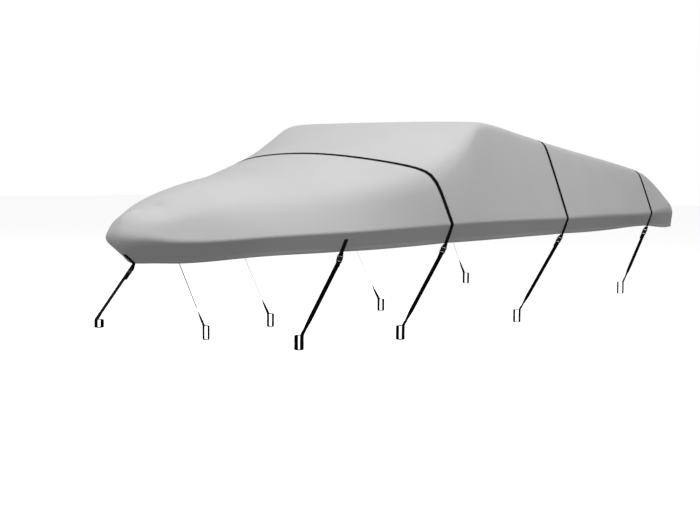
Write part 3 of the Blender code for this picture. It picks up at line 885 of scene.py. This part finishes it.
# Large soft lamps: azimuth from +X and elevation of where it stands, and its power.
LAMPS = {
    "key":            (-115.0, 65.0, 600.0),
    "front":          (-143.0, 60.0, 290.0),
    "port":           (-90.0, 50.0, 315.0),
    "low_port":       (-90.0, 15.0, 90.0),
    "low_bow":        (180.0, 15.0, 236.0),
    "starboard_bow":  (135.0, 50.0, 293.0),
    "starboard":      (90.0, 45.0, 105.0),
    "stern":          (0.0, 50.0, 135.0),
}
LAMP_DISTANCE = 12.0
LAMP_SIZE = 6.0
LAMPS_AIM = Vector((0.0, 0.0, -0.6))


def lamps():
    for name, (azimuth, elevation, power) in LAMPS.items():
        data = bpy.data.lights.new(name, "AREA")
        data.shape, data.size, data.energy = "DISK", LAMP_SIZE, power
        a, e = math.radians(azimuth), math.radians(elevation)
        toward = Vector((math.cos(a) * math.cos(e), math.sin(a) * math.cos(e), math.sin(e)))
        lamp = bpy.data.objects.new(name, data)
        lamp.matrix_world = toward.to_track_quat("Z", "Y").to_matrix().to_4x4()
        lamp.matrix_world.translation = LAMPS_AIM + toward * LAMP_DISTANCE
        scene.collection.objects.link(lamp)


def camera_sees(nodes, links, shader, seen, output):
    """Shows one shader to the camera and lights the scene with another."""
    path, mix = nodes.new("ShaderNodeLightPath"), nodes.new("ShaderNodeMixShader")
    links.new(path.outputs["Is Camera Ray"], mix.inputs["Fac"])
    links.new(shader, mix.inputs[1])
    links.new(seen, mix.inputs[2])
    links.new(mix.outputs[0], output.inputs["Surface"])


def world():
    """Even light from above and a weaker one from below, on a white background."""
    made = bpy.data.worlds.new("Studio")
    made.use_nodes = True
    scene.world = made
    nodes, links = made.node_tree.nodes, made.node_tree.links
    split = nodes.new("ShaderNodeSeparateXYZ")
    links.new(nodes.new("ShaderNodeTexCoord").outputs["Generated"], split.inputs[0])
    blend = nodes.new("ShaderNodeMapRange")
    links.new(split.outputs["Z"], blend.inputs["Value"])
    for name, value in (("From Min", -0.1), ("From Max", 0.1), ("To Min", BOUNCE), ("To Max", SKY)):
        blend.inputs[name].default_value = value
    sky, white = nodes["Background"], nodes.new("ShaderNodeBackground")
    sky.inputs["Color"].default_value = white.inputs["Color"].default_value = (1.0, 1.0, 1.0, 1.0)
    links.new(blend.outputs["Result"], sky.inputs["Strength"])
    camera_sees(nodes, links, sky.outputs[0], white.outputs[0], nodes["World Output"])


def floor():
    """A pale floor under the place of the trailer's wheels, which the studio's light from below
    passes, and which the camera sees as almost even white."""
    made = Shader("white_floor", (0.8, 0.8, 0.8), 0.9, 0.1)
    made.main.inputs["Emission Color"].default_value = (1.0, 1.0, 1.0, 1.0)
    made.main.inputs["Emission Strength"].default_value = FLOOR_GLOW
    corners = [(x * FLOOR_REACH, y * FLOOR_REACH, FLOOR_Z)
               for x, y in ((-1, -1), (1, -1), (1, 1), (-1, 1))]
    plane = new_object("floor", corners, [(0, 1, 2, 3)], made.material)
    plane.visible_diffuse = plane.visible_glossy = False


# ---- the whole -----------------------------------------------------------------------------
def put(piece, node):
    """Attaches a piece to the root body and hides the solid that it shows in place of."""
    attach(piece, "root")
    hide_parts(node)
    return piece


def trim(piece):
    """Attaches a small part to the root body; it rides along and hides no solid."""
    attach(piece, "root")
    return piece


def main():
    scene.view_settings.view_transform = "Standard"
    grey, black, acetal = cloth_material(), webbing_material(), plastic_material()
    grey_thread = thread_material("grey thread", (0.42, 0.42, 0.42))
    black_thread = thread_material("black thread", (0.03, 0.03, 0.032))
    cloth = put(cover(grey), "cover")
    sewn = [trim(hem_stitches(grey_thread))]
    for name, row in STRAPS.items():
        if row[1]:
            sewn.append(put(over_strap(name, black), name + "_over_strap"))
    moulded = buckle_mesh(acetal)
    for label, laid in TIE_DOWNS.items():
        tab = ribbon("visual_tab_" + label, laid, *laid.tab_path(), black)
        sewn.append(put(tab, "tab_" + label))
        sewn.append(trim(tab_stitches("stitches_" + label, laid, black_thread)))
        clip = put(buckle("visual_buckle_" + label, laid, moulded), "buckle_" + label)
        path, shares = laid.tie_path()
        tie = ribbon("visual_tie_" + label, laid, path, shares, black)
        put(tie, "tie_" + label)
    floor()
    world()
    lamps()
    main_camera()


main()
